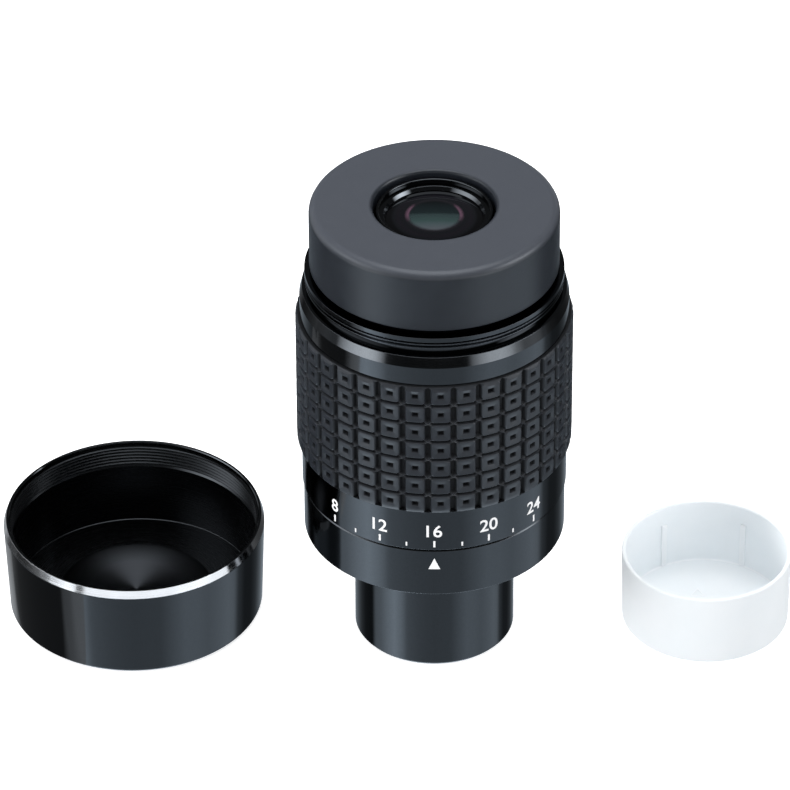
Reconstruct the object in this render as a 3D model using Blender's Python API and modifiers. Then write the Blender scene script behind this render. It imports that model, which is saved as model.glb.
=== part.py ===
"""Zoom eyepiece for a telescope, 8 to 24 mm, with its two dust caps lying beside it.

Everything is written in millimetres and made in metres, +Z up. The eyepiece stands on its barrel end.
The frame's origin is the middle of the set's footprint: halfway between the outer edges of the two
caps in X, and halfway between the grip and the back of the larger cap in Y, with Z = 0 underneath.

How it works: the barrel, the index ring and the slotted guide tube stand still. Turning the grip turns
the cam sleeve, whose two sets of helical slots run opposite ways. Each lens carriage has three
followers that reach through the guide tube's straight slots into the cam's helical ones, so it slides
without turning: the field lens goes up as the middle lens comes down. The eye lens stays in the top.
"""

import math

import bmesh
import bpy
from mathutils import Matrix, Vector

MM = 0.001
GAP = 0.3                    # clearance left between touching pieces

# Driving dimensions, in millimetres from the barrel's end and from the eyepiece's axis
BARREL_R = 15.875            # the 1.25 inch fitting
BARREL_BORE_R = 13.9
SHOULDER_Z = 24.88           # underside of the index ring, where a telescope's focuser seats
INDEX_R = 25.82
SEAM_Z = 35.82               # between the fixed index ring and the turning dial
DIAL_R = 26.09
GRIP_Z = (45.35, 75.25)
GRIP_R = 27.06
BAND_R = 26.24               # vertical band of the top ring
BAND_Z = 79.15
BEVEL_R = 25.78
BEVEL_Z = 81.29
THREAD_R = 25.2              # outer thread that the eye cap screws onto
COLLAR_Z = 84.4
EYECUP_R = 24.23
EYECUP_Z = (86.38, 99.38)
EYECUP_FILLET = 1.73
EYE_HOLE_R = 11.9

GUIDE_R = (19.3, 20.5)       # inner and outer radius of the guide tube
CAM_R = (20.8, 22.0)
SLEEVE_R = (22.3, 25.0)      # zoom sleeve under the grip
GUIDE_Z = (28.7, 70.2)
CARRIAGE_R = 19.0            # both lens carriages slide inside the guide tube
NOSE_R = 11.3                # slim top of the eye cell, inside the eyecup's hole

ZOOM_HALF_TURN = 48.0        # degrees each way from the middle of the zoom range
FIELD_PIN_Z, FIELD_HALF_STROKE = 38.95, 5.0
MIDDLE_PIN_Z, MIDDLE_HALF_STROKE = 56.0, -3.5
FIELD_PIN_ANGLES = (0, 120, 240)
MIDDLE_PIN_ANGLES = (60, 180, 300)
SCREW_ANGLES = (30, 150, 270)
DRIVE_SCREW_Z = 66.5
SLOT_WIDTH = 2.6
PIN_R = 1.0                  # followers, 0.3 mm clear of each side of their slots

GRIP_COLUMNS = 34
GRIP_TURN = 2.64             # degrees from the front to the middle of the nearest column
GROOVE_WIDTH, GROOVE_DEPTH = 1.0, 0.55
FLANGE_SCREW_CIRCLE_R = 22.0

EYE_CAP_R = (25.4, 26.15)    # outer radius at the floor and at the rim
EYE_CAP_H = 20.4
EYE_CAP_BORE = 24.85
EYE_CAP_AT = (-60.2, 7.1)    # from the eyepiece's axis
BARREL_CAP_R = (16.7, 17.0)
BARREL_CAP_H = 15.85
BARREL_CAP_AT = (54.5, 1.4)

OUTER_SIDES = 40             # facets round the visible shells
INNER_SIDES = 28
LENS_SIDES = 20
SCREW_SIDES = 8

AXIS_X = -((EYE_CAP_AT[0] - EYE_CAP_R[1]) + (BARREL_CAP_AT[0] + BARREL_CAP_R[1])) / 2
AXIS_Y = -((EYE_CAP_AT[1] + EYE_CAP_R[1]) - GRIP_R) / 2

COLOURS = {                  # base colour, metallic, roughness
    "black_anodised": ((0.02, 0.021, 0.024), 0.9, 0.28),
    "matt_black": ((0.012, 0.012, 0.013), 0.6, 0.7),
    "grip_rubber": ((0.035, 0.037, 0.042), 0.0, 0.62),
    "eyecup_rubber": ((0.055, 0.058, 0.065), 0.0, 0.55),
    "coated_glass": ((0.55, 0.72, 0.68), 0.0, 0.03),
    "brass": ((0.62, 0.46, 0.2), 1.0, 0.35),
    "steel": ((0.55, 0.56, 0.58), 1.0, 0.3),
    "bearing_plastic": ((0.75, 0.73, 0.68), 0.0, 0.5),
    "clear_plastic": ((0.86, 0.92, 0.96), 0.0, 0.35),
}


# ---------------------------------------------------------------- helpers

def material(name):
    found = bpy.data.materials.get(name)
    if found:
        return found
    colour, metallic, roughness = COLOURS[name]
    made = bpy.data.materials.new(name)
    made.use_nodes = True
    shader = made.node_tree.nodes["Principled BSDF"]
    shader.inputs["Base Color"].default_value = (*colour, 1)
    shader.inputs["Metallic"].default_value = metallic
    shader.inputs["Roughness"].default_value = roughness
    return made


def add_object(name, data, surface, parent=None):
    """An object of the part, with its material, on the empty that carries it."""
    made = bpy.data.objects.new(name, data)
    PARTS.objects.link(made)
    made.parent = parent or EYEPIECE
    if surface:
        made.data.materials.append(material(surface))
    return made


def add_helper(name, data, parent=None):
    """A cutter or another helper, which isn't a piece of the object."""
    made = bpy.data.objects.new(name, data)
    HELPERS.objects.link(made)
    made.parent = parent or EYEPIECE
    made.hide_render = True
    made.display_type = "WIRE"
    return made


def mesh_from(name, form):
    mesh = bpy.data.meshes.new(name)
    form.to_mesh(mesh)
    form.free()
    return mesh


def arc(centre_r, centre_z, radius, start, end, steps):
    """Points on a circle in the profile's plane, from start to end in degrees."""
    turns = [math.radians(start + (end - start) * i / steps) for i in range(steps + 1)]
    return [(centre_r + radius * math.cos(a), centre_z + radius * math.sin(a)) for a in turns]


def turned(name, profile, surface, sides, parent=None, closed=True):
    """A turned piece: its profile (radius, height) runs down the outside first, then back up inside.

    A profile that isn't closed starts and ends on the axis.
    """
    mesh = bpy.data.meshes.new(name)
    count = len(profile)
    edges = [(i, i + 1) for i in range(count - 1)] + ([(count - 1, 0)] if closed else [])
    mesh.from_pydata([(r * MM, 0, z * MM) for r, z in profile], edges, [])
    made = add_object(name, mesh, None, parent)
    spin = made.modifiers.new("Screw", "SCREW")
    spin.steps = spin.render_steps = sides
    spin.use_merge_vertices = True
    spin.merge_threshold = 0.00001
    graph = bpy.context.evaluated_depsgraph_get()
    made.data = bpy.data.meshes.new_from_object(made.evaluated_get(graph))
    made.modifiers.clear()
    bpy.data.meshes.remove(mesh)
    made.data.name = name
    made.data.materials.append(material(surface))
    shade(made.data)
    return made


def shade(mesh):
    """Smooth round the turned faces, sharp at their edges."""
    mesh.shade_smooth()
    mesh.set_sharp_from_angle(angle=math.radians(35))


def ring(name, inner, outer, low, high, surface, sides=INNER_SIDES):
    """A plain ring of square section."""
    return turned(name, [(outer, high), (outer, low), (inner, low), (inner, high)], surface, sides)


def lens(name, radius, edge, bulge_top, bulge_bottom):
    """A round lens. Its bulges are how far its middle stands beyond the edge, below zero if hollow."""
    steps = 3
    low, high = edge

    def face(level, bulge):
        curve = (radius ** 2 + bulge ** 2) / (2 * abs(bulge))
        sign = math.copysign(1, bulge)
        radii = [radius * i / steps for i in range(steps + 1)]
        return [(r, level + bulge - sign * (curve - math.sqrt(curve ** 2 - r ** 2))) for r in radii]

    top = face(high, bulge_top)
    bottom = face(low, -bulge_bottom)
    return turned(name, top + bottom[::-1], "coated_glass", LENS_SIDES, closed=False)


def around(angle):
    return Matrix.Rotation(math.radians(angle), 4, "Z")


def corner_turns(sides):
    return [2 * math.pi * i / sides for i in range(sides)]


def radial_places(angles, height):
    """Places at this height whose own Z points out from the axis."""
    outwards = Matrix.Translation((0, 0, height * MM)) @ Matrix.Rotation(math.pi / 2, 4, "Y")
    return [around(angle) @ outwards for angle in angles]


def upright_places(angles, radius):
    return [around(angle) @ Matrix.Translation((radius * MM, 0, 0)) for angle in angles]


def stepped_pins(name, steps, places):
    """A mesh of equal stepped pins, one at each place, along its Z. Each step is (radius, start, end)."""
    form = bmesh.new()
    for place in places:
        rings = [
            [form.verts.new(place @ Vector((radius * MM * math.cos(turn), radius * MM * math.sin(turn),
                                            along * MM))) for turn in corner_turns(SCREW_SIDES)]
            for radius, start, end in steps for along in (start, end)
        ]
        for low, high in zip(rings, rings[1:]):
            for i in range(SCREW_SIDES):
                j = (i + 1) % SCREW_SIDES
                form.faces.new((low[i], low[j], high[j], high[i]))
        form.faces.new(rings[0][::-1])
        form.faces.new(rings[-1])
    bmesh.ops.recalc_face_normals(form, faces=form.faces)
    mesh = mesh_from(name, form)
    shade(mesh)
    return mesh


def slot_cutter(name, angles, height, half_turn, half_stroke, radii):
    """Round-ended slots through a tube: along the axis if half_turn is 0, helical if it isn't.

    A follower stays at its angle while the cam turns, so the slot leans the other way: at cam turn t
    the follower meets the cam t further back. Both long sides are worked out on the unrolled tube.
    """
    middle_r = (CAM_R[0] + CAM_R[1]) / 2
    reach = (-math.radians(half_turn) * middle_r, half_stroke)
    length = math.hypot(*reach)
    along = (reach[0] / length, reach[1] / length)
    across = (-along[1], along[0])
    half = SLOT_WIDTH / 2
    end_steps, run_steps = 3, 8 if half_turn else 1
    caps = [math.pi / 2 * i / end_steps for i in range(end_steps + 1)]
    spine = [(-length - half * math.cos(a), half * math.sin(a)) for a in caps]
    spine += [(-length + 2 * length * i / run_steps, half) for i in range(1, run_steps)]
    spine += [(length + half * math.sin(a), half * math.cos(a)) for a in caps]

    form = bmesh.new()
    for angle in angles:
        def point(distance, offset, radius):
            u = distance * along[0] + offset * across[0]
            z = height + distance * along[1] + offset * across[1]
            turn = math.radians(angle) + u / middle_r
            return form.verts.new((radius * math.cos(turn) * MM, radius * math.sin(turn) * MM, z * MM))

        walls = []
        for radius in radii:
            left = [point(d, w, radius) for d, w in spine[1:-1]]
            right = [point(d, -w, radius) for d, w in spine[1:-1]]
            tips = point(*spine[0], radius), point(*spine[-1], radius)
            walls.append((left, right, tips))
        (left_in, right_in, tips_in), (left_out, right_out, tips_out) = walls
        outline_in = [tips_in[0], *left_in, tips_in[1], *right_in[::-1]]
        outline_out = [tips_out[0], *left_out, tips_out[1], *right_out[::-1]]
        for i, corner in enumerate(outline_in):
            after = (i + 1) % len(outline_in)
            form.faces.new((corner, outline_in[after], outline_out[after], outline_out[i]))
        for left, right, tips in walls:
            form.faces.new((tips[0], left[0], right[0]))
            form.faces.new((tips[1], left[-1], right[-1]))
            for i in range(len(left) - 1):
                form.faces.new((left[i], left[i + 1], right[i + 1], right[i]))
    bmesh.ops.recalc_face_normals(form, faces=form.faces)
    return add_helper(name, mesh_from(name, form))


def holes(name, steps, places):
    """A cutter for a hole at each place."""
    return add_helper(name, stepped_pins(name, steps, places))


def fasteners(name, steps, places, surface):
    """Equal screws or pins, one at each place, which share a mesh."""
    mesh = stepped_pins(name, steps, [Matrix()])
    mesh.materials.append(material(surface))
    for number, place in enumerate(places, 1):
        add_object(f"{name}_{number}", mesh, None).matrix_local = place


def boolean(piece, other, operation="DIFFERENCE"):
    cut = piece.modifiers.new(other.name, "BOOLEAN")
    cut.operation = operation
    cut.solver = "EXACT"
    cut.object = other


# ---------------------------------------------------------------- what stands still

def make_barrel():
    """Smooth barrel with a filter thread inside its mouth and a threaded spigot at the top."""
    spigot_r, thread_r, thread_root = 15.6, 14.25, 13.95
    pitch, turns, first = 1.2, 3, 0.9
    thread = []
    for i in range(turns):
        thread += [(thread_root, first + pitch * i), (thread_r, first + pitch * (i + 0.5))]
    profile = [
        (spigot_r, 30.3), (spigot_r, SHOULDER_Z - GAP), (BARREL_R, SHOULDER_Z - GAP),
        (BARREL_R, 0.5), (BARREL_R - 0.5, 0), (thread_r + 0.3, 0),
        *thread, (BARREL_BORE_R, first + pitch * turns), (BARREL_BORE_R, 30.3),
    ]
    turned("barrel", profile, "black_anodised", OUTER_SIDES)


def make_index_ring():
    """Fixed ring at the bottom, with the floor that the barrel and the guide tube screw into."""
    wall_r, floor_z, top = 24.0, 28.4, SEAM_Z - GAP / 2
    profile = [
        (INDEX_R - 0.2, top), (INDEX_R, top - 0.2), (INDEX_R, SHOULDER_Z + 0.3),
        (INDEX_R - 0.3, SHOULDER_Z), (BARREL_R + 0.025, SHOULDER_Z), (BARREL_R + 0.025, floor_z),
        (wall_r, floor_z), (wall_r, top),
    ]
    index_ring = turned("index_ring", profile, "black_anodised", OUTER_SIDES)
    boolean(index_ring, holes("index_ring_screw_holes", [(0.95, 25.7, 29.5)], FLANGE_SCREW_PLACES))


def make_guide():
    """Flanged tube with straight slots, its screws, and the ring that keeps the cam sleeve on it."""
    flange_r, flange_z = 23.6, 30.7
    low, high = GUIDE_Z
    inner, outer = GUIDE_R
    tube = turned("guide_tube", [
        (outer, high), (outer, flange_z), (flange_r, flange_z), (flange_r, low), (inner, low), (inner, high),
    ], "matt_black", INNER_SIDES)
    radii = (inner - 1, outer + 1)
    for name, angles, pin_z, stroke in (
        ("guide_field_slots", FIELD_PIN_ANGLES, FIELD_PIN_Z, FIELD_HALF_STROKE),
        ("guide_middle_slots", MIDDLE_PIN_ANGLES, MIDDLE_PIN_Z, MIDDLE_HALF_STROKE),
    ):
        boolean(tube, slot_cutter(name, angles, pin_z, 0, stroke, radii))
    boolean(tube, holes("guide_flange_holes", [(1.0, 28, 29.4), (1.55, 29.4, 31.2)], FLANGE_SCREW_PLACES))
    fasteners("guide_screw", [(0.65, 26.1, 29.7), (1.2, 29.7, 30.5)], FLANGE_SCREW_PLACES, "steel")
    ring("bearing_ring", 22.45, 23.55, flange_z + GAP, 31.8, "bearing_plastic")
    turned("guide_retainer", [
        (21.9, 71.5), (21.9, 70.5), (19.0, 70.5), (19.0, 67.2), (18.2, 67.2), (18.2, 71.5),
    ], "black_anodised", INNER_SIDES)


# ---------------------------------------------------------------- what turns with the grip

def make_cam_sleeve():
    cam = ring("cam_sleeve", *CAM_R, 31.0, GUIDE_Z[1], "matt_black")
    radii = (CAM_R[0] - 1, CAM_R[1] + 1)
    for name, angles, pin_z, stroke in (
        ("cam_field_slots", FIELD_PIN_ANGLES, FIELD_PIN_Z, FIELD_HALF_STROKE),
        ("cam_middle_slots", MIDDLE_PIN_ANGLES, MIDDLE_PIN_Z, MIDDLE_HALF_STROKE),
    ):
        boolean(cam, slot_cutter(name, angles, pin_z, ZOOM_HALF_TURN, stroke, radii))
    boolean(cam, holes("cam_screw_holes", [(1.15, CAM_R[0] - 1, CAM_R[1] + 1)], DRIVE_SCREW_PLACES))


def make_zoom_sleeve():
    """Outer sleeve: the dial, the seat of the grip, and a skirt that turns inside the index ring."""
    inner, outer = SLEEVE_R
    skirt_r, skirt_z, thread_r, thread_z, top = 23.7, 32.1, 22.9, 71.0, GRIP_Z[1] - GAP
    dial_z = SEAM_Z + GAP / 2
    profile = [
        (outer, top), (outer, GRIP_Z[0]), (DIAL_R, GRIP_Z[0]), (DIAL_R, dial_z + 0.2),
        (DIAL_R - 0.2, dial_z), (skirt_r, dial_z), (skirt_r, skirt_z), (inner, skirt_z),
        (inner, thread_z), (thread_r, thread_z), (thread_r, top),
    ]
    sleeve = turned("zoom_sleeve", profile, "black_anodised", OUTER_SIDES)
    boolean(sleeve, holes("sleeve_screw_holes", [(1.5, inner - 1, outer + 1)], DRIVE_SCREW_PLACES))
    steps = [(0.8, CAM_R[0] + 0.1, inner), (1.15, inner, outer - 0.1)]
    fasteners("drive_screw", steps, DRIVE_SCREW_PLACES, "steel")


def make_grip():
    """Rubber sleeve, cut from a ribbed outline. It hides the drive screws."""
    low, high = GRIP_Z[0] + GAP, GRIP_Z[1] - GAP
    pitch = 2 * math.pi / GRIP_COLUMNS
    half_groove = GROOVE_WIDTH / 2 / GRIP_R
    corners = ((-pitch / 2 + half_groove, GRIP_R), (0, GRIP_R), (pitch / 2 - half_groove, GRIP_R),
               (pitch / 2 - half_groove, GRIP_R - GROOVE_DEPTH),
               (pitch / 2 + half_groove, GRIP_R - GROOVE_DEPTH))
    first = math.radians(GRIP_TURN - 90)
    outline = [(first + column * pitch + turn, r) for column in range(GRIP_COLUMNS) for turn, r in corners]
    bore = [(turn, SLEEVE_R[1] + GAP) for turn in corner_turns(OUTER_SIDES)]

    curve = bpy.data.curves.new("grip", "CURVE")
    curve.dimensions = "2D"
    curve.fill_mode = "BOTH"
    curve.extrude = (high - low) / 2 * MM
    for points in (outline, bore):
        spline = curve.splines.new("POLY")
        spline.points.add(len(points) - 1)
        spline.use_cyclic_u = True
        for point, (turn, r) in zip(spline.points, points):
            point.co = (r * MM * math.cos(turn), r * MM * math.sin(turn), 0, 1)
    grip = add_object("grip", curve, "grip_rubber")
    grip.location.z = (low + high) / 2 * MM


def make_top_ring():
    """Bevelled ring with the eye cap's thread, and the neck that carries the eyecup."""
    neck_r, bore_r, spigot_r, roof_z, hole_r = 19.8, 17.9, 22.6, 94.3, NOSE_R + 0.35
    crests = []
    for i in range(2):
        top = COLLAR_Z - 0.4 - 0.8 * i
        crests += [(THREAD_R, top), (THREAD_R - 0.4, top - 0.4)]
    profile = [
        (neck_r - 0.4, roof_z + 2), (neck_r, roof_z + 1.6), (neck_r, COLLAR_Z), (THREAD_R - 0.2, COLLAR_Z),
        *crests, (24.5, 82.3), (24.5, BEVEL_Z), (BEVEL_R, BEVEL_Z), (BAND_R, BAND_Z), (BAND_R, GRIP_Z[1]),
        (spigot_r, GRIP_Z[1]), (spigot_r, 71.8), (bore_r, 71.8), (bore_r, roof_z),
        (hole_r, roof_z), (hole_r, roof_z + 2),
    ]
    turned("top_ring", profile, "black_anodised", OUTER_SIDES)


def make_eye_group():
    """Eye cell with the lens nearest the eye, the doublet below it, and the rings that hold them."""
    bore_r, step_r, seat_r = 14.3, 9.0, NOSE_R - 1.4
    turned("eye_cell", [
        (NOSE_R, 95.2), (NOSE_R, 90.4), (17.6, 90.0), (17.6, 72.6), (bore_r, 72.6),
        (bore_r, 84.7), (step_r, 86.1), (step_r, 92.2), (seat_r, 92.2), (seat_r, 95.2),
    ], "matt_black", INNER_SIDES)
    lens("eye_lens", seat_r - GAP, (92.5, 96.8), 0.75, 0.1)
    turned("eye_lens_ring", [
        (NOSE_R - 0.15, 98.2), (NOSE_R, 98.05), (NOSE_R, 95.5), (seat_r, 95.5), (seat_r, 97.2),
        (8.77, 97.2), (8.77, 97.45), (NOSE_R - 0.4, 98.2),
    ], "black_anodised", INNER_SIDES)
    lens("eye_doublet", bore_r - GAP, (79.2, 84.3), 2.2, 1.6)
    ring("eye_retainer", 11.5, bore_r - GAP, 75.9, 77.9, "matt_black", LENS_SIDES)


def make_eyecup():
    """Rubber eyecup with its outer wall folded down, as for an observer who wears glasses."""
    low, high = EYECUP_Z
    fillet, hole_fillet = EYECUP_FILLET, 0.7
    skirt_r, neck_out, neck_in, fold_z, roof_z = 22.0, 21.3, 20.1, 95.6, 96.6
    profile = [
        *arc(EYECUP_R - fillet, high - fillet, fillet, 90, 0, 3),
        (EYECUP_R, low + 0.3), (EYECUP_R - 0.3, low), (skirt_r, low), (skirt_r, fold_z),
        (neck_out, fold_z), (neck_out, COLLAR_Z + GAP), (neck_in, COLLAR_Z + GAP), (neck_in, roof_z),
        (EYE_HOLE_R, roof_z), (EYE_HOLE_R, high - hole_fillet), (EYE_HOLE_R + hole_fillet, high),
    ]
    turned("eyecup", profile, "eyecup_rubber", OUTER_SIDES)


# ---------------------------------------------------------------- the two sliding carriages

def make_followers(name, cell, bore_r, places):
    """Screws through the carriage's wall, with round heads that ride in both sets of slots."""
    boolean(cell, holes(f"{name}_holes", [(1.15, bore_r - 0.5, CARRIAGE_R + 1)], places))
    wall = CARRIAGE_R + 0.15
    fasteners(name, [(0.85, wall - 2.3, wall), (PIN_R, wall, CAM_R[1] - 0.15)], places, "brass")


def make_field_carriage():
    """Long carriage that carries the field lens down inside the barrel."""
    tube_r, foot_z, base_z, top_z, bore_r = 13.5, 11.0, 36.2, 41.7, 12.1
    cell = turned("field_cell", [
        (CARRIAGE_R, top_z), (CARRIAGE_R, base_z), (tube_r, base_z), (tube_r, foot_z), (bore_r, foot_z),
        (bore_r, 22.0), (10.8, 22.0), (10.8, 36.6), (16.5, 38.6), (16.5, top_z),
    ], "matt_black", INNER_SIDES)
    fit = bore_r - GAP
    lens("field_lens_rear", fit, (18.5, 21.7), -0.8, -1.0)
    ring("field_spacer", 10.6, fit, 16.9, 18.2, "matt_black", LENS_SIDES)
    lens("field_lens_front", fit, (13.6, 16.6), 0.9, -0.6)
    ring("field_retainer", 10.2, fit, 11.4, 13.3, "matt_black", LENS_SIDES)
    make_followers("field_follower", cell, 16.0, radial_places(FIELD_PIN_ANGLES, FIELD_PIN_Z))


def make_middle_carriage():
    """Short carriage with the strong middle lens and the field stop."""
    low, high, bore_r, lip_r = 51.0, 61.0, 15.3, 13.5
    cell = turned("middle_cell", [
        (CARRIAGE_R, high), (CARRIAGE_R, low), (bore_r, low), (bore_r, 58.4), (lip_r, 59.0), (lip_r, high),
    ], "matt_black", INNER_SIDES)
    fit = bore_r - GAP
    lens("middle_lens", fit, (55.4, 57.5), 2.9, 1.4)
    ring("middle_retainer", 13.0, fit, 53.0, 54.7, "matt_black", LENS_SIDES)
    turned("field_stop", [
        (fit, 52.6), (fit, 51.3), (9.5, 51.3), (9.5, 51.7), (12.5, 52.6),
    ], "matt_black", LENS_SIDES)
    make_followers("middle_follower", cell, bore_r, radial_places(MIDDLE_PIN_ANGLES, MIDDLE_PIN_Z))


# ---------------------------------------------------------------- dust caps

def make_eye_cap():
    """Turned metal cap that screws on over the eyecup, lying mouth up."""
    base_r, rim_r = EYE_CAP_R
    floor, chamfer, chamfer_width, turns, pitch = 1.5, 1.6, 0.55, 3, 1.5
    thread_z = EYE_CAP_H - 1.1 - pitch * turns
    thread = []
    for i in range(turns):
        thread += [(EYE_CAP_BORE, thread_z + pitch * i), (EYE_CAP_BORE - 0.3, thread_z + pitch * (i + 0.5))]
    turned("eye_cap", [
        (0, floor), (EYE_CAP_BORE - 0.2, floor), *thread,
        (EYE_CAP_BORE, EYE_CAP_H - 1.1), (EYE_CAP_BORE + 0.3, EYE_CAP_H), (rim_r - chamfer_width, EYE_CAP_H),
        (rim_r, EYE_CAP_H - chamfer), (base_r, 0.6), (base_r - 0.6, 0), (0, 0),
    ], "black_anodised", OUTER_SIDES, add_place("eye_cap_place", EYE_CAP_AT), closed=False)


def make_barrel_cap():
    """Moulded plastic cap that pushes onto the barrel, lying mouth up, with four ribs that grip."""
    base_r, rim_r = BARREL_CAP_R
    floor, bore_low, bore_high, lip = 1.0, 15.95, 16.15, 0.25
    place = add_place("barrel_cap_place", BARREL_CAP_AT)
    cap = turned("barrel_cap", [
        (0, floor), (bore_low, floor), (bore_high, BARREL_CAP_H), (rim_r - lip, BARREL_CAP_H),
        (rim_r, BARREL_CAP_H - lip), (base_r, 0.5), (base_r - 0.5, 0), (0, 0),
    ], "clear_plastic", OUTER_SIDES, place, closed=False)
    depth, width, rib_low, rib_high = 0.9, 1.0, 0.5, 12.6
    form = bmesh.new()
    for angle in (45, 135, 225, 315):
        middle = Matrix.Translation(((bore_low + 0.15) * MM, 0, (rib_low + rib_high) / 2 * MM))
        size = Matrix.Diagonal((depth * MM, width * MM, (rib_high - rib_low) * MM, 1))
        bmesh.ops.create_cube(form, size=1, matrix=around(angle) @ middle @ size)
    boolean(cap, add_helper("barrel_cap_ribs", mesh_from("barrel_cap_ribs", form), place), "UNION")


# ---------------------------------------------------------------- the set

def add_place(name, at):
    """An empty that carries one of the set's three loose things, on the axis it is turned about."""
    place = bpy.data.objects.new(name, None)
    PARTS.objects.link(place)
    place.empty_display_size = 10 * MM
    place.location = ((AXIS_X + at[0]) * MM, (AXIS_Y + at[1]) * MM, 0)
    return place


for old in list(bpy.data.objects):
    bpy.data.objects.remove(old, do_unlink=True)

PARTS = bpy.data.collections.new("zoom_eyepiece")
HELPERS = bpy.data.collections.new("cutters")
for collection in (PARTS, HELPERS):
    bpy.context.scene.collection.children.link(collection)
EYEPIECE = add_place("eyepiece_axis", (0, 0))
DRIVE_SCREW_PLACES = radial_places(SCREW_ANGLES, DRIVE_SCREW_Z)
FLANGE_SCREW_PLACES = upright_places(SCREW_ANGLES, FLANGE_SCREW_CIRCLE_R)

make_barrel()
make_index_ring()
make_guide()
make_cam_sleeve()
make_zoom_sleeve()
make_grip()
make_top_ring()
make_eye_group()
make_eyecup()
make_field_carriage()
make_middle_carriage()
make_eye_cap()
make_barrel_cap()
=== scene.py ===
"""Zoom eyepiece with its two dust caps: the looks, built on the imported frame.

Lengths are written in millimetres from each turned piece's own axis, and made in metres, +Z up.
"""

import math

import bmesh
import bpy
from mathutils import Matrix, Vector


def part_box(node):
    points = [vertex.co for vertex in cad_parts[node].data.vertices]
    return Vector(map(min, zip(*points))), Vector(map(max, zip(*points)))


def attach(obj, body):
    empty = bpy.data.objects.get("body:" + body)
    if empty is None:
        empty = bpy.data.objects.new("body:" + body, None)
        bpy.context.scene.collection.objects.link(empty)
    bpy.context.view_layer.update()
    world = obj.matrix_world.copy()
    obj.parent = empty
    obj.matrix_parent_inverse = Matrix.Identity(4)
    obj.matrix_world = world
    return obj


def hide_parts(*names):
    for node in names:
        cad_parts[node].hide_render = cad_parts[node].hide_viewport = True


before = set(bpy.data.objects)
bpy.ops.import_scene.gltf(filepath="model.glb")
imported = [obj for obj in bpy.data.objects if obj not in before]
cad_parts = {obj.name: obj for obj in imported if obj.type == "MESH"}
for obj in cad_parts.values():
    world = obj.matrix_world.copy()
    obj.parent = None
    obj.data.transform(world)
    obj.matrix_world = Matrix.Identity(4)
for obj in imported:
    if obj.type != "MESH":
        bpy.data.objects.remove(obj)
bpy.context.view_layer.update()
MM = 0.001


def axis_of(node):
    low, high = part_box(node)
    return ((low.x + high.x) / 2, (low.y + high.y) / 2)


EYEPIECE = axis_of("top_ring")
EYE_CAP = axis_of("eye_cap")
BARREL_CAP = axis_of("barrel_cap")
FRONT = -90                  # degrees from +X: the side that faces the camera

SIDES = 144                  # facets round the visible turned pieces


# ---------------------------------------------------------------- camera

CAMERA_PLACE = (EYEPIECE[0], -0.9888, 0.7474)
CAMERA_TILT = 54.90          # degrees up from straight down
SENSOR_WIDTH, FOCAL_LENGTH = 36, 279.8
CAMERA_SHIFT = -0.0498       # the eyepiece stands right of the middle

camera = bpy.data.objects.new("camera", bpy.data.cameras.new("camera"))
bpy.context.scene.collection.objects.link(camera)
bpy.context.scene.camera = camera
camera.location = CAMERA_PLACE
camera.rotation_euler = (math.radians(CAMERA_TILT), 0, 0)
camera.data.sensor_width = SENSOR_WIDTH
camera.data.lens = FOCAL_LENGTH
camera.data.shift_x = CAMERA_SHIFT
camera.data.clip_start, camera.data.clip_end = 0.05, 50
camera.data.dof.use_dof = False


# ---------------------------------------------------------------- materials

def dimmed(colour, factor):
    return tuple(channel * factor for channel in colour)


def fill_ramp(node, stops):
    """Gives a ColorRamp node its stops of (place, colour)."""
    elements = node.color_ramp.elements
    while len(elements) < len(stops):
        elements.new(0.5)
    for element, (place, colour) in zip(elements, stops):
        element.position = place
        element.color = (*colour, 1)


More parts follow.
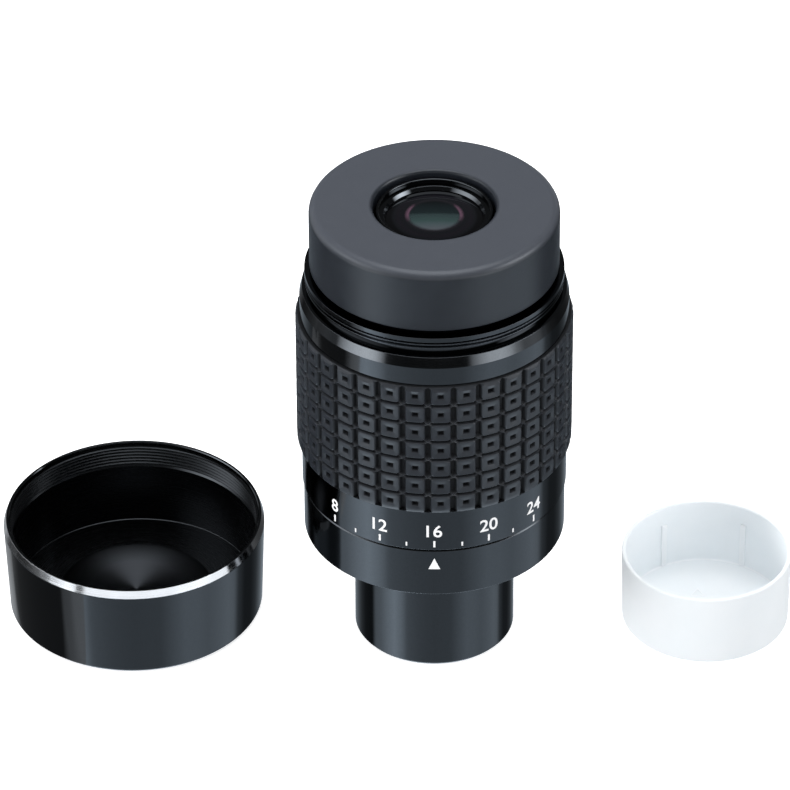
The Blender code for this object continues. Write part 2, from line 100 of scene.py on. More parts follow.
class Finish:
    """A node material whose coordinates are millimetres from one of the three axes."""

    def __init__(self, name, axis=EYEPIECE, **sockets):
        self.material = bpy.data.materials.new(name)
        self.material.use_nodes = True
        self.tree = self.material.node_tree
        self.shader = self.tree.nodes["Principled BSDF"]
        for socket, value in sockets.items():
            self.shader.inputs[socket.replace("_", " ")].default_value = value
        place = self.add("ShaderNodeTexCoord").outputs["Object"]
        moved = self.add("ShaderNodeVectorMath", operation="SUBTRACT")
        self.join(place, moved.inputs[0])
        moved.inputs[1].default_value = (axis[0], axis[1], 0)
        scaled = self.add("ShaderNodeVectorMath", operation="SCALE")
        self.join(moved.outputs[0], scaled.inputs[0])
        scaled.inputs["Scale"].default_value = 1 / MM
        self.place = scaled.outputs[0]
        self.apart = None

    def add(self, kind, **settings):
        node = self.tree.nodes.new(kind)
        for name, value in settings.items():
            setattr(node, name, value)
        return node

    def join(self, source, target):
        self.tree.links.new(source, target)

    def maths(self, operation, *values):
        node = self.add("ShaderNodeMath", operation=operation)
        for socket, value in zip(node.inputs, values):
            if isinstance(value, (int, float)):
                socket.default_value = value
            else:
                self.join(value, socket)
        return node.outputs[0]

    def parts(self):
        """x, y, z and the radius, in millimetres."""
        if not self.apart:
            split = self.add("ShaderNodeSeparateXYZ")
            self.join(self.place, split.inputs[0])
            x, y, z = split.outputs
            squares = self.maths("ADD", self.maths("MULTIPLY", x, x), self.maths("MULTIPLY", y, y))
            self.apart = x, y, z, self.maths("SQRT", squares)
        return self.apart

    def noise(self, scale, detail=2, rough=0.5, place=None):
        """Noise from 0 to 1, with this many waves to the millimetre."""
        noise = self.add("ShaderNodeTexNoise")
        noise.inputs["Scale"].default_value = scale
        noise.inputs["Detail"].default_value = detail
        noise.inputs["Roughness"].default_value = rough
        self.join(place or self.place, noise.inputs["Vector"])
        return noise.outputs["Fac"]

    def turning(self, scale, detail=2):
        """Noise that changes with the height and the radius only, as a lathe tool leaves."""
        _, _, z, radius = self.parts()
        section = self.add("ShaderNodeCombineXYZ")
        self.join(radius, section.inputs[0])
        self.join(z, section.inputs[1])
        return self.noise(scale, detail, 0.6, place=section.outputs[0])

    def ramp(self, value, *stops):
        """A colour between stops of (place, colour)."""
        node = self.add("ShaderNodeValToRGB")
        fill_ramp(node, stops)
        self.join(value, node.inputs[0])
        return node.outputs[0]

    def spread(self, value, low, high, start=0.0, end=1.0):
        """value from start to end becomes low to high."""
        node = self.add("ShaderNodeMapRange")
        self.join(value, node.inputs["Value"])
        for name, number in (("From Min", start), ("From Max", end), ("To Min", low), ("To Max", high)):
            node.inputs[name].default_value = number
        return node.outputs[0]

    def blend(self, factor, first, second):
        """first where the factor is 0, and second where it is 1."""
        node = self.add("ShaderNodeMix", data_type="RGBA")
        self.give(factor, node.inputs["Factor"])
        self.give(first, node.inputs[6])
        self.give(second, node.inputs[7])
        return node.outputs[2]

    def mottle(self, pattern, first, second, low=0.3, high=0.7):
        """first where the pattern is low, and second where it is high."""
        return self.blend(self.spread(pattern, 0, 1, low, high), first, second)

    def give(self, value, socket):
        if isinstance(value, (int, float)):
            socket.default_value = value
        elif isinstance(value, tuple):
            socket.default_value = (*value, 1)
        else:
            self.join(value, socket)

    def bump(self, height, distance, strength=1.0, below=None):
        """Raises the surface by up to this distance in millimetres."""
        node = self.add("ShaderNodeBump")
        node.inputs["Strength"].default_value = strength
        node.inputs["Distance"].default_value = distance * MM
        self.join(height, node.inputs["Height"])
        if below:
            self.join(below, node.inputs["Normal"])
        return node.outputs[0]

    def set(self, **sources):
        for socket, source in sources.items():
            self.join(source, self.shader.inputs[socket.replace("_", " ")])
        return self.material


def anodised(name, axis, colour=(0.086, 0.09, 0.095), gloss=0.085, bore=None):
    """Black anodised aluminium, turned on a lathe and polished.

    Inside the radius given as bore it is rougher, and its colour is darkened as painted shade.
    """
    it = Finish(name, axis, Metallic=1.0)
    fine = it.turning(9.0, 3)
    cloud = it.noise(0.09, 3)
    specks = it.noise(2.6, 4, 0.7)
    rough = it.maths("ADD", it.spread(fine, gloss - 0.02, gloss + 0.03, 0.3, 0.7),
                     it.spread(cloud, -0.012, 0.018, 0.3, 0.7))
    shade = it.mottle(specks, colour, dimmed(colour, 0.9), 0.35, 0.65)
    if bore:
        dull_shaded_bore = it.spread(it.parts()[3], 1, 0, bore - 0.1, bore)
        rough = it.maths("ADD", rough, it.maths("MULTIPLY", dull_shaded_bore, 0.17))
        # painted shade: the colour is darkened inside the bore
        shade = it.blend(dull_shaded_bore, shade, dimmed(colour, 0.7))
    return it.set(Base_Color=shade, Roughness=rough,
                  Normal=it.bump(specks, 0.0006, 0.2, it.bump(fine, 0.0012, 0.3)))


def faced(name, axis, edge, colour=(0.086, 0.09, 0.098)):
    """Black anodised metal faced on a lathe, whose fine rings spread the light into a fan.

    Its colour darkens towards the radius given as edge, as painted shade that makes its fan of reflected
    light fade out there.
    """
    it = Finish(name, axis, Metallic=1.0, Anisotropic=0.88, Anisotropic_Rotation=0.25)
    tangent = it.add("ShaderNodeTangent", direction_type="RADIAL", axis="Z")
    it.join(tangent.outputs[0], it.shader.inputs["Tangent"])
    radius = it.parts()[3]
    rings = it.turning(5.0, 2)
    # painted shade: darker towards the disc's edge, where the reflected fan should fade
    shade = it.mottle(radius, colour, dimmed(colour, 0.12), edge * 0.62, edge)
    return it.set(Base_Color=shade, Roughness=it.spread(rings, 0.40, 0.52, 0.3, 0.7),
                  Normal=it.bump(rings, 0.0015, 0.3))


def matt(name, axis, colour=(0.014, 0.014, 0.015), rough=0.62):
    """Metal painted matt black against stray light."""
    it = Finish(name, axis)
    grain = it.noise(7.0, 4, 0.65)
    rings = it.turning(3.0, 2)
    shade = it.mottle(grain, dimmed(colour, 0.7), dimmed(colour, 1.35))
    bump = it.bump(grain, 0.02, 0.5, it.bump(rings, 0.03, 0.4))
    return it.set(Base_Color=shade, Roughness=it.spread(rings, rough - 0.1, rough + 0.1, 0.3, 0.7),
                  Normal=bump)


def rubber(name, colour, rough, grain_size, rings=0.0, shaded_groove_radius=None, painted_top_light=None):
    """Moulded rubber with a fine grain and faint handling marks.

    rings is the height of faint turned rings. A groove radius, if given, is a radius: below it lie the
    grooves of a
    pattern, which stay dull and are darkened as painted shade. A top light, if given, is a height, a bore and
    a colour:
    the top, above the height and outside the bore, is painted in that paler colour as painted light from
    above.
    """
    it = Finish(name, EYEPIECE, Specular_IOR_Level=0.5)
    grain = it.noise(grain_size, 4, 0.6)
    coarse = it.noise(0.35, 4, 0.55)
    worn = it.noise(0.06, 2, 0.5)
    shade = it.mottle(coarse, dimmed(colour, 0.93), dimmed(colour, 1.07))
    shade = it.blend(it.spread(worn, 0, 0.3, 0.45, 0.75), shade, dimmed(colour, 1.2))
    roughness = it.maths("ADD", it.spread(grain, rough - 0.04, rough + 0.06, 0.3, 0.7),
                         it.spread(coarse, -0.03, 0.03, 0.3, 0.7))
    if shaded_groove_radius:
        radius = it.parts()[3]
        deep = it.spread(radius, 1, 0, shaded_groove_radius - 0.3, shaded_groove_radius)
        # painted shade: the grooves below this radius are darkened
        shade = it.blend(deep, shade, dimmed(colour, 0.22))
        roughness = it.maths("ADD", roughness, it.maths("MULTIPLY", deep, 0.35))
    if painted_top_light:
        height, bore, pale = painted_top_light
        _, _, z, radius = it.parts()
        # painted light: the top and its rounded rim are painted paler, as if lit from above
        top = it.maths("MULTIPLY", it.spread(z, 0, 1, height - 1.3, height),
                       it.spread(radius, 0, 1, bore, bore + 0.6))
        shade = it.blend(top, shade, pale)
    bump = it.bump(grain, 0.014, 0.4, it.bump(coarse, 0.04, 0.25))
    if rings:
        bump = it.bump(it.turning(2.2, 2), rings, 0.5, bump)
    return it.set(Base_Color=shade, Roughness=roughness, Normal=bump)


def cut_metal(name, axis, colour=(0.9, 0.9, 0.91), rough=0.16):
    """Bare metal as the lathe tool leaves it."""
    it = Finish(name, axis, Metallic=1.0)
    lines = it.turning(14.0, 2)
    patches = it.noise(0.2, 3)
    shade = it.mottle(patches, colour, dimmed(colour, 0.9))
    return it.set(Base_Color=shade, Roughness=it.spread(lines, rough - 0.05, rough + 0.1, 0.3, 0.7),
                  Normal=it.bump(lines, 0.004, 0.4))


def ink():
    """White filling of the engraved marks."""
    it = Finish("white_ink", EYEPIECE)
    grain = it.noise(5.0, 3)
    shade = it.mottle(grain, (0.92, 0.92, 0.92), (0.97, 0.97, 0.97))
    return it.set(Base_Color=shade, Roughness=it.spread(grain, 0.45, 0.6), Normal=it.bump(grain, 0.01, 0.3))


def glass(name, tint, thickness):
    """A lens with an antireflection film, this many nanometres thick."""
    it = Finish(name, EYEPIECE, Transmission_Weight=1.0, IOR=1.52, Thin_Film_Thickness=thickness,
                Thin_Film_IOR=1.38)
    dust = it.noise(1.4, 5, 0.7)
    shade = it.mottle(dust, tint, dimmed(tint, 0.94), 0.4, 0.75)
    return it.set(Base_Color=shade, Roughness=it.spread(dust, 0.0, 0.03, 0.5, 0.8),
                  Normal=it.bump(dust, 0.0005, 0.1))


# Painted reflections and painted shade that stand for what the eye lens shows: across its pupil from the
# camera's side to the far side, and outwards
PUPIL_REFLECTION_STOPS = (
    (0.0, (0.065, 0.072, 0.082)), (0.2, (0.041, 0.059, 0.063)), (0.3, (0.0265, 0.047, 0.0457)),
    (0.5, (0.0194, 0.032, 0.033)), (0.57, (0.0065, 0.0116, 0.0127)), (0.8, (0.0037, 0.0067, 0.008)),
    (1.0, (0.001, 0.0017, 0.0022)),
)
TUBE_SHADE_STOPS = (
    (0.0, (0.009, 0.008, 0.0105)), (0.56, (0.009, 0.008, 0.0105)), (0.62, (0.0045, 0.005, 0.0065)),
    (0.74, (0.006, 0.0052, 0.0075)), (0.82, (0.0045, 0.005, 0.0065)), (0.88, (0.0010, 0.0010, 0.0014)),
    (1.0, (0.0010, 0.0010, 0.0014)),
)
CRESCENT_REFLECTION_TINT = (0.085, 0.045, 0.068)


def eye_glass():
    """The lens nearest the eye. Its dark inside and the reflections of its coated inner surfaces are painted
    on as rings of colour: painted shade and painted reflections.
    """
    it = Finish("eye_glass", EYEPIECE, Specular_IOR_Level=0.5, Coat_Weight=0.25, Coat_Roughness=0.02)
    x, y, _, radius = it.parts()
    dust = it.noise(1.4, 5, 0.7)
    # painted reflection across the pupil, and painted shade with a faint painted ring round it
    pupil = it.ramp(it.spread(y, 0, 1, -5.0, 5.0), *PUPIL_REFLECTION_STOPS)
    tube_shade = it.ramp(it.spread(radius, 0, 1, 0, 9.6), *TUBE_SHADE_STOPS)
    shade = it.blend(it.spread(radius, 1, 0, 4.6, 5.4), tube_shade, pupil)
    # painted crescents of reflection, at the left and right of the pupil's edge
    side = it.spread(it.maths("ABSOLUTE", x), 0, 1, 3.6, 4.6)
    band = it.maths("MULTIPLY", it.spread(radius, 0, 1, 4.75, 5.05), it.spread(radius, 1, 0, 5.2, 5.8))
    upper = it.spread(y, 0, 1, -2.2, 0.0)
    crescent_reflection = it.maths("MULTIPLY", it.maths("MULTIPLY", side, band), upper)
    shade = it.blend(crescent_reflection, shade, CRESCENT_REFLECTION_TINT)
    return it.set(Base_Color=shade, Roughness=it.spread(dust, 0.02, 0.06, 0.4, 0.8),
                  Normal=it.bump(dust, 0.0005, 0.1))


def clear_plastic():
    """Milky translucent polyethylene. Its ribs and gate mark, where they stand up from the walls and the
    floor, are painted a little whiter, as painted light that they catch.
    """
    it = Finish("milky_plastic", BARREL_CAP, Transmission_Weight=0.12, IOR=1.2, Subsurface_Weight=0.3,
                Subsurface_Radius=(1.0, 1.0, 1.0), Subsurface_Scale=0.00008)
    flow = it.noise(0.12, 4, 0.6)
    grain = it.noise(2.5, 3)
    shade = it.mottle(flow, (0.885, 0.925, 0.95), (0.91, 0.945, 0.965))
    _, _, z, radius = it.parts()
    # painted light: the ribs and the gate mark are painted whiter
    raised_painted_light = it.maths("MULTIPLY", it.spread(z, 0, 1, 1.62, 1.66), it.spread(radius, 1, 0, 15.8, 15.95))
    shade = it.blend(raised_painted_light, shade, (0.96, 0.985, 1.0))
    return it.set(Base_Color=shade, Roughness=it.spread(grain, 0.5, 0.62, 0.3, 0.7),
                  Normal=it.bump(grain, 0.003, 0.15, it.bump(flow, 0.06, 0.25)))


def polymer(name, colour):
    """A plain machined plastic."""
    it = Finish(name, EYEPIECE)
    grain = it.noise(3.0, 3)
    shade = it.mottle(grain, colour, dimmed(colour, 0.9))
    return it.set(Base_Color=shade, Roughness=it.spread(grain, 0.4, 0.55), Normal=it.bump(grain, 0.01, 0.4))


FACED_RADIUS = 15.5          # of the faced disc on the eye cap's floor

BLACK = anodised("black_anodised_eyepiece", EYEPIECE)
# its bore is darkened as painted shade
CAP_BLACK = anodised("black_anodised_cap", EYE_CAP, bore=25.0)
# darkened towards its edge as painted shade
CAP_FLOOR = faced("black_anodised_faced", EYE_CAP, FACED_RADIUS)
MATT = matt("matt_black_inside", EYEPIECE)
# its grooves are darkened as painted shade
GRIP = rubber("grip_rubber_moulded", (0.0105, 0.0125, 0.0165), 0.42, 6.0, shaded_groove_radius=26.85)
# the eyecup's top is painted paler, as painted light from above
EYECUP = rubber("eyecup_rubber_moulded", (0.009, 0.011, 0.015), 0.36, 7.0, 0.01,
                painted_top_light=(99.1, 12.1, (0.056, 0.062, 0.075)))
RIM = cut_metal("cut_rim", EYE_CAP, rough=0.075)
INK = ink()
LENS = glass("coated_glass_lens", (0.93, 0.97, 0.95), 420)
EYE_GLASS = eye_glass()
CLEAR = clear_plastic()
BRASS = cut_metal("turned_brass", EYEPIECE, (0.62, 0.46, 0.2), 0.3)
STEEL = cut_metal("turned_steel", EYEPIECE, (0.55, 0.56, 0.58), 0.28)
BEARING = polymer("bearing_polymer", (0.75, 0.73, 0.68))

SLOT_MATERIALS = {
    "black_anodised": BLACK, "matt_black": MATT, "grip_rubber": GRIP, "eyecup_rubber": EYECUP,
    "coated_glass": LENS, "brass": BRASS, "steel": STEEL, "bearing_plastic": BEARING, "clear_plastic": CLEAR,
}


# ---------------------------------------------------------------- turned pieces

FILLET_STEP = 18             # degrees of turn to each facet of a rounded corner
TINY = 1e-6
SQUARE = ((-1, -1), (1, -1), (1, 1), (-1, 1))


def outline(corners, closed):
    """Segments of a profile as (start, end, normal at start, normal at end), its corners rounded.

    A corner is (radius, height) or (radius, height, fillet). The profile runs down the outside first.
    """
    count = len(corners)
    places = [Vector(corner[:2]) for corner in corners]
    fillets = [corner[2] if len(corner) > 2 else 0 for corner in corners]
    if not closed:
        fillets[0] = fillets[-1] = 0

    def outward(start, end):
        along = (end - start).normalized()
        return Vector((-along.y, along.x))

    ends = []                # for each corner: the points where its rounding starts and ends
    for i, (place, fillet) in enumerate(zip(places, fillets)):
        if not fillet:
            ends.append((place, place))
            continue
        before = (places[i - 1] - place).normalized()
        after = (places[(i + 1) % count] - place).normalized()
        half = before.angle(after) / 2
        reach = fillet / math.tan(half)
        ends.append((place + before * reach, place + after * reach))

    segments = []
    for i in range(count if closed else count - 1):
        j = (i + 1) % count
        start, end = ends[i][1], ends[j][0]
        if (end - start).length > TINY:
            facing = outward(places[i], places[j])
            segments.append((start, end, facing, facing))
        if fillets[j] and (closed or j < count - 1):
            first = outward(places[i], places[j])
            second = outward(places[j], places[(j + 1) % count])
            steps = max(2, round(abs(math.degrees(first.angle_signed(second))) / FILLET_STEP))
            convex = 1 if (ends[j][1] - ends[j][0]).dot(first) < 0 else -1
            centre = ends[j][0] - first * fillets[j] * convex
            points, normals = [], []
            for k in range(steps + 1):
                mixed = first.slerp(second, k / steps)
                normals.append(mixed)
                points.append(centre + mixed * fillets[j] * convex)
            for k in range(steps):
                segments.append((points[k], points[k + 1], normals[k], normals[k + 1]))
    return segments


def turned(name, corners, axis, closed=True):
    """A mesh object turned about an axis from its profile, with exact normals."""
    segments = outline(corners, closed)
    points = [segment[0] for segment in segments]
    if not closed:
        points.append(segments[-1][1])
    verts, rings = [], []
    for point in points:
        if abs(point.x) < TINY:
            rings.append([len(verts)] * SIDES)
            verts.append((axis[0], axis[1], point.y * MM))
            continue
        rings.append(list(range(len(verts), len(verts) + SIDES)))
        for k in range(SIDES):
            turn = 2 * math.pi * k / SIDES
            verts.append((axis[0] + point.x * MM * math.cos(turn), axis[1] + point.x * MM * math.sin(turn),
                          point.y * MM))
    faces, normals = [], []
    for i, (_, _, facing_start, facing_end) in enumerate(segments):
        upper, lower = rings[i], rings[(i + 1) % len(rings)]
        for k in range(SIDES):
            after = (k + 1) % SIDES
            quad = ((upper[k], k, facing_start), (lower[k], k, facing_end),
                    (lower[after], k + 1, facing_end), (upper[after], k + 1, facing_start))
            kept, seen = [], set()      # on the axis, a quad's two equal corners become one
            for corner in quad:
                if corner[0] not in seen:
                    seen.add(corner[0])
                    kept.append(corner)
            faces.append([corner[0] for corner in kept])
            for _, step, facing in kept:
                turn = 2 * math.pi * step / SIDES
                normals.append((facing.x * math.cos(turn), facing.x * math.sin(turn), facing.y))
    mesh = bpy.data.meshes.new(name)
    mesh.from_pydata(verts, [], faces)
    mesh.shade_smooth()
    mesh.normals_split_custom_set(normals)
    return link(name, mesh)


def link(name, mesh):
    """An object of the mesh, in the scene."""
    made = bpy.data.objects.new(name, mesh)
    bpy.context.scene.collection.objects.link(made)
    return made


def mesh_from(name, form):
    """The form as a mesh. The form is used up."""
    mesh = bpy.data.meshes.new(name)
    form.to_mesh(mesh)
    form.free()
    return mesh


def finish(piece, body, slot, material, *nodes):
    """Gives the piece its material and the body that it rides on, and hides the CAD nodes that it stands for.
    """
    piece.data.materials.clear()
    piece.data.materials.append(material)
    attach(piece, body)
    if nodes:
        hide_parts(*nodes)
    return piece


def thread(crest, root, top, pitch, turns, flat=0.12):
    """Corners of a thread cut as rings, going down an outer wall or, with root beyond crest, a bore.

    flat is how much of the pitch each step between the slopes takes.
    """
    corners = []
    for i in range(turns):
        high = top - pitch * i
        corners += [(crest, high - flat * pitch), (crest, high - 2 * flat * pitch),
                    (root, high - (0.5 + flat) * pitch), (root, high - (0.5 + 2 * flat) * pitch)]
    return corners


def build_body():
    """The barrel, the index ring and the sleeve that carries the dial and the grip."""
    filter_thread = thread(14.25, 13.97, 4.5, 0.6, 6)[::-1]
    corners = [
        (15.6, 30.3), (15.6, 24.6), (15.875, 24.6, 0.1), (15.875, 0.55, 0.12), (15.4, 0, 0.12),
        (14.6, 0, 0.1), (14.4, 0.5), *filter_thread, (13.9, 4.7), (13.9, 30.3),
    ]
    finish(turned("barrel_shell", corners, EYEPIECE), "fixed_body", "black_anodised", BLACK, "barrel")
    corners = [
        (25.62, 35.67, 0.04), (25.82, 35.47, 0.08), (25.82, 25.24, 0.1), (25.46, 24.88, 0.1),
        (15.9, 24.88, 0.1), (15.9, 28.4), (24.0, 28.4), (24.0, 35.67, 0.05),
    ]
    finish(turned("index_ring_shell", corners, EYEPIECE), "fixed_body", "black_anodised", BLACK, "index_ring")
    corners = [
        (25.0, 74.95), (25.0, 45.35), (25.92, 45.35, 0.03), (26.09, 45.15, 0.08), (26.09, 36.17, 0.08),
        (25.89, 35.97, 0.04), (23.7, 35.97), (23.7, 32.1), (22.3, 32.1), (22.3, 71.0), (22.9, 71.0),
        (22.9, 74.95),
    ]
    finish(turned("dial_sleeve", corners, EYEPIECE), "zoom_ring", "black_anodised", BLACK, "zoom_sleeve")


def build_top():
    """The bevelled ring with the eye cap's thread, and the eyecup folded down round it."""
    corners = [
        (19.4, 96.3), (19.8, 95.9), (19.8, 85.1), (23.2, 85.35, 0.1), (25.2, 85.35, 0.06),
        (25.2, 84.45, 0.06), (24.75, 84.25), (24.75, 84.12), (25.18, 83.98, 0.06), (25.18, 83.78, 0.06),
        (24.75, 83.62), (24.75, 83.34), (25.18, 83.16, 0.06), (25.18, 82.96, 0.06), (24.4, 82.72),
        (24.4, 81.5), (25.25, 81.42, 0.03), (25.72, 81.29, 0.09), (26.24, 79.15, 0.08), (26.24, 75.35, 0.06),
        (26.14, 75.25, 0.03), (22.6, 75.25), (22.6, 71.8), (17.9, 71.8), (17.9, 94.3), (11.65, 94.3),
        (11.65, 96.3),
    ]
    finish(turned("bevelled_ring", corners, EYEPIECE), "zoom_ring", "black_anodised", BLACK, "top_ring")
    corners = [
        (24.23, 99.38, 1.73), (24.23, 86.38, 0.3), (22.0, 86.38, 0.2), (22.0, 95.6), (21.3, 95.6),
        (21.3, 84.7), (20.1, 84.7), (20.1, 96.6), (11.9, 96.6), (11.9, 99.38, 0.7),
    ]
    finish(turned("folded_eyecup", corners, EYEPIECE), "eyecup_body", "eyecup_rubber", EYECUP, "eyecup")


def build_eye_group():
    corners = [
        (11.3, 95.2), (11.3, 90.4), (17.6, 90.0), (17.6, 72.6), (14.3, 72.6), (14.3, 84.7), (9.0, 86.1),
        (9.0, 92.2), (9.9, 92.2), (9.9, 95.2),
    ]
    finish(turned("eye_cell_body", corners, EYEPIECE), "zoom_ring", "matt_black", MATT, "eye_cell")
    corners = [
        (10.68, 97.3), (10.72, 98.2, 0.2), (11.3, 98.2, 0.2), (11.3, 95.5), (9.9, 95.5), (9.9, 96.5),
        (9.3, 96.5, 0.03), (9.8, 97.2, 0.1),
    ]
    finish(turned("lens_ring", corners, EYEPIECE), "zoom_ring", "black_anodised", BLACK, "eye_lens_ring")
    corners = [*dome(9.6, 96.35, 0.7, 16), (9.6, 92.6), (0, 92.6)]
    finish(turned("eye_lens_glass", corners, EYEPIECE, closed=False), "zoom_ring", "coated_glass", EYE_GLASS,
           "eye_lens")


def dome(radius, level, bulge, count):
    """Corners of a lens's curved face from the axis to the rim, which is at this level."""
    curve = (radius ** 2 + bulge ** 2) / (2 * bulge)
    across = [radius * k / count for k in range(count + 1)]
    return [(r, level + bulge - (curve - math.sqrt(curve ** 2 - r ** 2))) for r in across]


def build_field_end():
    """What shows inside the barrel's mouth: the field lens in its long cell."""
    corners = [
        (19.0, 41.7), (19.0, 36.2), (13.5, 36.2), (13.5, 11.0, 0.2), (12.1, 11.0, 0.15), (12.1, 22.0),
        (10.8, 22.0), (10.8, 36.6), (16.5, 38.6), (16.5, 41.7),
    ]
    finish(turned("field_cell_body", corners, EYEPIECE), "field_carriage", "matt_black", MATT, "field_cell")
    corners = [(11.8, 13.3), (11.8, 11.4, 0.1), (10.4, 11.4, 0.2), (10.2, 11.7), (10.2, 13.3)]
    finish(turned("field_ring", corners, EYEPIECE), "field_carriage", "matt_black", MATT, "field_retainer")
    corners = dome(11.8, 16.6, 0.9, 14) + dome(11.8, 13.6, 0.6, 14)[::-1]
    finish(turned("field_lens_glass", corners, EYEPIECE, closed=False), "field_carriage", "coated_glass",
           LENS, "field_lens_front")


def build_eye_cap():
    bore, floor = 24.85, 1.5
    threads = thread(bore - 0.32, bore, 19.3, 0.75, 6)[::-1]
    corners = [
        (0, floor + 0.15), (4, floor + 0.06), (bore - 0.5, floor, 0.3), (bore - 0.25, 14.6), *threads,
        (bore, 19.3), (bore + 0.12, 20.2, 0.08), (bore + 0.3, 20.4, 0.08), (25.55, 20.36), (26.0, 18.85),
        (26.13, 18.75, 0.06), (25.42, 0.6, 0.3), (24.8, 0, 0.3), (0, 0),
    ]
    finish(turned("eye_cap_shell", corners, EYE_CAP, closed=False), "eye_cap_body", "black_anodised",
           CAP_BLACK, "eye_cap")
    corners = [(25.6, 20.4, 0.06), (26.15, 18.8, 0.05), (26.0, 18.8), (25.5, 20.3)]
    rim = finish(turned("eye_cap_cut_rim", corners, EYE_CAP), "eye_cap_body", "bright_aluminium", RIM)
    rim.visible_glossy = False          # the black metal doesn't mirror it
    corners = [
        (0, floor + 0.2), (4, floor + 0.11), (FACED_RADIUS, floor + 0.07, 0.03), (FACED_RADIUS, floor - 0.1),
        (0, floor - 0.1),
    ]
    finish(turned("eye_cap_faced_floor", corners, EYE_CAP, closed=False), "eye_cap_body", "black_anodised",
           CAP_FLOOR)


def build_barrel_cap():
    corners = [
        (0, 1.6), (15.97, 1.6, 0.5), (16.13, 15.6, 0.1), (16.3, 15.85, 0.12), (16.85, 15.85, 0.15),
        (17.0, 15.6, 0.15), (16.72, 0.5, 0.5), (16.2, 0, 0.4), (0, 0),
    ]
    piece = turned("barrel_cap_shell", corners, BARREL_CAP, closed=False)
    form = bmesh.new()
    form.from_mesh(piece.data)
    for angle in (60, 120, 240, 300):
        add_rib(form, angle, radii=(15.7, 16.1), width=1.4, heights=(1.5, 11.8))
    add_gate_mark(form, across=-1.3, back=4.4, heights=(1.55, 1.67))
    form.to_mesh(piece.data)
    form.free()
    finish(piece, "barrel_cap_body", "clear_plastic", CLEAR, "barrel_cap")
    piece.visible_glossy = False        # the black metal doesn't mirror it


def add_rib(form, angle, radii, width, heights):
    """A rib up the inside of the barrel cap, whose top slopes back into the wall."""
    inner, outer = radii
    low, high = heights
    turn = Matrix.Translation((*BARREL_CAP, 0)) @ Matrix.Rotation(math.radians(angle), 4, "Z")
    section = [(outer, -width / 2), (inner, -width / 2 + 0.15), (inner, width / 2 - 0.15), (outer, width / 2)]

    def corner(radius, across, height, shrink):
        radius += (outer - radius) * shrink
        place = Vector((radius * MM, across * (1 - shrink * 0.4) * MM, height * MM))
        return form.verts.new(turn @ place)

    rows = [[corner(radius, across, height, shrink) for radius, across in section]
            for height, shrink in ((low, 0), (high - 0.5, 0), (high - 0.1, 0.25), (high, 0.6))]
    count = len(section)
    for lower, upper in zip(rows, rows[1:]):
        for i in range(count):
            j = (i + 1) % count
            form.faces.new((lower[j], lower[i], upper[i], upper[j]))
    form.faces.new(rows[0])
    form.faces.new(rows[-1][::-1])


def add_gate_mark(form, across, back, heights, outer=1.8, inner=1.3):
    """A small raised triangle that the mould leaves on the barrel cap's floor, this far across and back."""
    low, high = heights

    def ring(reach, height):
        made = []
        for turn in (90, 210, 330):
            x, y = across + reach * math.cos(math.radians(turn)), back + reach * math.sin(math.radians(turn))
            made.append(form.verts.new((BARREL_CAP[0] + x * MM, BARREL_CAP[1] + y * MM, height * MM)))
        return made

    rings = [ring(outer, low), ring(outer, high), ring(inner, high), ring(inner, low)]
    for first, second in zip(rings, rings[1:] + rings[:1]):
        for i in range(3):
            form.faces.new((first[i], first[(i + 1) % 3], second[(i + 1) % 3], second[i]))


# ---------------------------------------------------------------- grip

GRIP_COLUMNS, GRIP_ROWS = 34, 7
TILE_W, TILE_H = 5.0, 4.2
GRIP_LOW, GRIP_HIGH, GRIP_BORE = 45.6, 75.05, 25.3
GRIP_TURN = 2.64             # degrees from the front to the middle of the nearest column
GRIP_FOOT, FOOT_RADIUS = 45.35, 26.65        # where its outside starts to swell
SWELL_HEIGHT, SWELL = 1.54, 0.41
BEVEL_HEIGHT, BEVEL_SLOPE = 0.42, 0.95       # of its top edge

# Rings of a tile from its edge to its middle: half width, half height, cut corner, and the depth at the
# sides, at the top and bottom, and at the corners
TILE_RINGS = (
    (2.50, 2.10, 0.78, 0.98, 0.75, 0.04),
    (2.16, 1.96, 0.66, 0.98, 0.75, 0.20),
    (1.82, 1.76, 0.50, 0.10, 0.10, 0.12),
    (1.72, 1.66, 0.44, 0.00, 0.00, 0.00),
    (1.34, 1.24, 0.20, 0.00, 0.00, 0.00),
    (0.70, 0.56, 0.12, 0.17, 0.17, 0.17),
    (0.60, 0.46, 0.11, 0.36, 0.36, 0.36),
    (0.42, 0.30, 0.08, 0.95, 0.95, 0.95),
)
SIDE_STEPS = (-1, -0.5, 0, 0.5, 1)


def grip_radius(height):
    """The grip's outer radius: it swells from the bottom, and its top edge is bevelled."""
    swell = min(1.0, (height - GRIP_FOOT) / SWELL_HEIGHT)
    radius = FOOT_RADIUS + SWELL * math.sin(swell * math.pi / 2)
    return radius - max(0.0, height - (GRIP_HIGH - BEVEL_HEIGHT)) * BEVEL_SLOPE


# The first rings of the tiles in the end rows run straight up or down to the grip's edge: their half heights
# there, and their cut corners
TOP_ROW, TOP_CUT = (2.10, 2.07, 2.02, 1.94), 0.42
BOTTOM_ROW, BOTTOM_CUT = (2.10, 2.08, 2.03, 1.95), 0.05
CORNER_PULL = 0.42           # how far a cut corner's middle point is drawn in, as a share of the cut
MERGE = 0.000004             # metres
SHARP_EDGE = 28              # degrees


